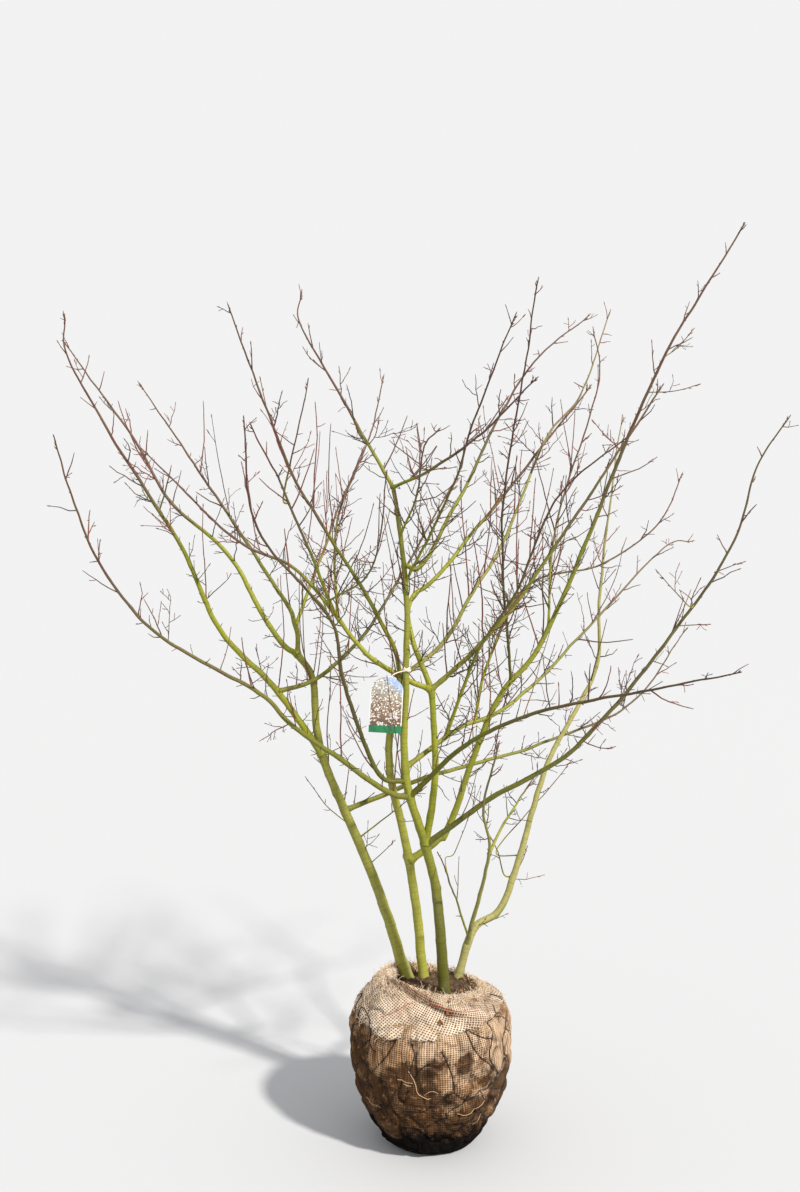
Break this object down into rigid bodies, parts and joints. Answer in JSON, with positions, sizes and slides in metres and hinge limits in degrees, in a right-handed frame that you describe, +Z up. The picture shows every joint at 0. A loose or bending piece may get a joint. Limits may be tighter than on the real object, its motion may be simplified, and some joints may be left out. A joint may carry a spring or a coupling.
{
  "type": "serviceberry shrub",
  "caption": "Bare multi-stemmed serviceberry shrub, ready for planting, standing on its hessian-wrapped root ball.",
  "frame": {"origin": "centre of the root ball's flat underside", "axes": "+Z up, -Y towards the front of the plant, +X to its right seen from the front"},
  "size_m": [1.8373, 1.2821, 2.4008],
  "materials": {
    "stem_bark": "smooth thin bark, olive to yellow-green, with pale lenticels and darker scars",
    "bough_bark": "thin bark, olive turning dark grey-brown towards the tips",
    "twigs": "bare brown and reddish-brown twigs with long pointed buds",
    "root_ball": "packed soil wrapped in coarse hessian and wire netting, soil-stained towards its foot",
    "hessian": "coarse beige hessian, frayed at its edge",
    "soil": "dark brown crumbly soil with bits of bark and leaf",
    "label": null,
    "strap": "thin pale plastic tie"
  },
  "bodies": {
    "root": {"bough_inner_back": "bough_bark", "bough_inner_right": "bough_bark", "bough_left_back": "bough_bark", "bough_left_front": "bough_bark", "bough_left_high": "bough_bark", "bough_left_inner": "bough_bark", "bough_left_low": "bough_bark", "bough_left_outer": "bough_bark", "bough_left_upper": "bough_bark", "bough_pale": "bough_bark", "bough_right_back": "bough_bark", "bough_right_front": "bough_bark", "bough_right_low": "bough_bark", "bough_right_middle": "bough_bark", "bough_right_tall": "bough_bark", "collar": "hessian", "label": "label", "root_ball": "root_ball", "soil": "soil", "stem_front": "stem_bark", "stem_front_upper": "stem_bark", "stem_inner": "stem_bark", "stem_left": "stem_bark", "stem_middle": "stem_bark", "stem_right": "stem_bark", "stem_right_inner": "stem_bark", "stem_right_upper": "stem_bark", "strap": "strap", "twigs_bough_back_high": "twigs", "twigs_bough_crossing": "twigs", "twigs_bough_front_right": "twigs", "twigs_bough_inner_back": "twigs", "twigs_bough_inner_right": "twigs", "twigs_bough_left_back": "twigs", "twigs_bough_left_front": "twigs", "twigs_bough_left_high": "twigs", "twigs_bough_left_inner": "twigs", "twigs_bough_left_low": "twigs", "twigs_bough_left_outer": "twigs", "twigs_bough_left_upper": "twigs", "twigs_bough_pale": "twigs", "twigs_bough_right_back": "twigs", "twigs_bough_right_front": "twigs", "twigs_bough_right_low": "twigs", "twigs_bough_right_middle": "twigs", "twigs_bough_right_tall": "twigs", "twigs_shoot_back_left": "twigs", "twigs_shoot_front": "twigs", "twigs_shoot_front_high": "twigs", "twigs_shoot_left_back": "twigs", "twigs_shoot_left_inner": "twigs", "twigs_shoot_right_foot": "twigs", "twigs_shoot_right_high": "twigs", "twigs_shoot_right_low": "twigs", "twigs_shoot_right_middle": "twigs", "twigs_shoot_tall": "twigs", "twigs_shoot_top_left": "twigs", "twigs_shoot_top_right": "twigs", "twigs_stem_right": "twigs", "twigs_stem_right_inner": "twigs"}
  },
  "joints": []
}
